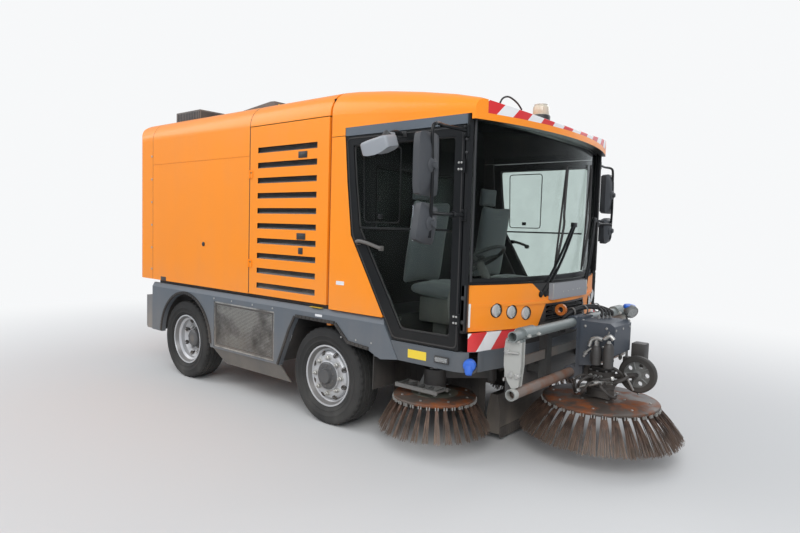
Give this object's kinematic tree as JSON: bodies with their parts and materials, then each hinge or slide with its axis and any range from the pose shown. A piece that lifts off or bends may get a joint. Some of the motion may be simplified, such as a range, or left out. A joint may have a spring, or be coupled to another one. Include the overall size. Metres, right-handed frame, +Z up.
{
  "type": "compact street sweeper truck",
  "caption": "Compact cab-over street sweeper truck with an orange tipping hopper, louvred engine bay, side brushes under the cab and a third brush on a cross beam in front.",
  "frame": {"origin": "on the ground under the middle of the overall length and width", "axes": "+X forward, +Y left, +Z up"},
  "size_m": [5.13, 2.96, 2.625],
  "materials": {
    "orange": "gloss",
    "slate": "satin",
    "frame_dark": "satin",
    "cast": "matte",
    "mesh": "satin",
    "rubber": "matte",
    "tyre": "matte",
    "rim": "satin",
    "glass": "gloss",
    "black_plastic": "matte",
    "lamp": "gloss",
    "worn_steel": "satin",
    "brush": "rough"
  },
  "bodies": {
    "truck": {"chassis_frame": "cast", "engine_block": "cast", "skirts": "slate", "rubber_trim": "rubber", "mesh_panels": "mesh", "rear_bumper": "slate", "bay_housing": "orange", "cab_frame": "frame_dark", "cab_glass": "glass", "cab_roof": "orange", "cab_side_panels": "orange", "cab_front_panel": "orange", "cab_interior": "black_plastic", "mirrors": "black_plastic", "front_bumper": "slate", "front_beam": "worn_steel", "suction_nozzle": "frame_dark", "lamps": "lamp"},
    "hopper": {"hopper_shell": "orange", "roof_boxes": "frame_dark"},
    "tailgate_body": {"tailgate": "orange"},
    "carriage": {"front_carriage": "slate"},
    "brush_carrier": {"front_arm": "frame_dark"},
    "front_brush_body": {"front_brush": "brush"},
    "support_wheel_body": {"support_wheel": "rubber"},
    "door_r": {"door_frame_r": "frame_dark", "door_glass_r": "glass"},
    "bay_door_r": {"louvre_door_r": "orange"},
    "knuckle_body_r": {"knuckle_r": "cast"},
    "arm_r": {"side_arm_r": "frame_dark"},
    "brush_r": {"side_brush_r": "brush"},
    "wheel_fr": {"rim_fr": "rim", "tyre_fr": "tyre"},
    "wheel_br": {"rim_br": "rim", "tyre_br": "tyre"},
    "door_l": {"door_frame_l": "frame_dark", "door_glass_l": "glass"},
    "bay_door_l": {"louvre_door_l": "orange"},
    "knuckle_body_l": {"knuckle_l": "cast"},
    "arm_l": {"side_arm_l": "frame_dark"},
    "brush_l": {"side_brush_l": "brush"},
    "wheel_fl": {"rim_fl": "rim", "tyre_fl": "tyre"},
    "wheel_bl": {"rim_bl": "rim", "tyre_bl": "tyre"}
  },
  "joints": [
    {"name": "hopper_tip", "type": "hinge", "parent": "truck", "child": "hopper", "pos_m": [-2.295, 0, 0.88], "axis": [0, -1, 0], "range_deg": [0, 50]},
    {"name": "tailgate_lift", "type": "hinge", "parent": "hopper", "child": "tailgate_body", "pos_m": [-2.2805, 0, 2.526], "axis": [0, 1, 0], "range_deg": [0, 80]},
    {"name": "carriage_slide", "type": "slide", "parent": "truck", "child": "carriage", "axis": [0, 1, 0], "range_m": [-0.25, 0.25]},
    {"name": "brush_lift", "type": "slide", "parent": "carriage", "child": "brush_carrier", "axis": [0, 0, 1], "range_m": [-0.1, 0.04]},
    {"name": "front_brush_spin", "type": "hinge", "parent": "brush_carrier", "child": "front_brush_body", "pos_m": [2.015, 0, 0.35], "axis": [0, 0, 1], "continuous": true},
    {"name": "support_wheel_spin", "type": "hinge", "parent": "brush_carrier", "child": "support_wheel_body", "pos_m": [2.23, 0.11, 0.545], "axis": [0, 1, 0], "continuous": true},
    {"name": "door_r_hinge", "type": "hinge", "parent": "truck", "child": "door_r", "pos_m": [1.502, -1.048, 1.45], "axis": [0, 0, 1], "range_deg": [0, 65]},
    {"name": "bay_door_r_hinge", "type": "hinge", "parent": "truck", "child": "bay_door_r", "pos_m": [-0.655, -1.048, 1.55], "axis": [0, 0, -1], "range_deg": [0, 110]},
    {"name": "steer_r", "type": "hinge", "parent": "truck", "child": "knuckle_body_r", "pos_m": [0.285, -0.8, 0.372], "axis": [0, 0, 1], "range_deg": [-30, 30]},
    {"name": "wheel_fr_spin", "type": "hinge", "parent": "knuckle_body_r", "child": "wheel_fr", "pos_m": [0.285, -0.907, 0.372], "axis": [0, 1, 0], "continuous": true},
    {"name": "wheel_br_spin", "type": "hinge", "parent": "truck", "child": "wheel_br", "pos_m": [-1.695, -0.907, 0.372], "axis": [0, 1, 0], "continuous": true},
    {"name": "arm_r_swing", "type": "hinge", "parent": "truck", "child": "arm_r", "pos_m": [1.405, -0.475, 0.5], "axis": [0, 0, 1], "range_deg": [0, 20]},
    {"name": "brush_r_spin", "type": "hinge", "parent": "arm_r", "child": "brush_r", "pos_m": [1.125, -0.755, 0.35], "axis": [0, 0, 1], "continuous": true},
    {"name": "door_l_hinge", "type": "hinge", "parent": "truck", "child": "door_l", "pos_m": [1.502, 1.048, 1.45], "axis": [0, 0, -1], "range_deg": [0, 65]},
    {"name": "bay_door_l_hinge", "type": "hinge", "parent": "truck", "child": "bay_door_l", "pos_m": [-0.655, 1.048, 1.55], "axis": [0, 0, 1], "range_deg": [0, 110]},
    {"name": "steer_l", "type": "hinge", "parent": "truck", "child": "knuckle_body_l", "pos_m": [0.285, 0.8, 0.372], "axis": [0, 0, 1], "range_deg": [-30, 30]},
    {"name": "wheel_fl_spin", "type": "hinge", "parent": "knuckle_body_l", "child": "wheel_fl", "pos_m": [0.285, 0.907, 0.372], "axis": [0, 1, 0], "continuous": true},
    {"name": "wheel_bl_spin", "type": "hinge", "parent": "truck", "child": "wheel_bl", "pos_m": [-1.695, 0.907, 0.372], "axis": [0, 1, 0], "continuous": true},
    {"name": "arm_l_swing", "type": "hinge", "parent": "truck", "child": "arm_l", "pos_m": [1.405, 0.475, 0.5], "axis": [0, 0, -1], "range_deg": [0, 20]},
    {"name": "brush_l_spin", "type": "hinge", "parent": "arm_l", "child": "brush_l", "pos_m": [1.125, 0.755, 0.35], "axis": [0, 0, 1], "continuous": true}
  ],
  "couplings": [
    {"joint": "steer_l", "follows": "steer_r", "ratio": 1}
  ]
}
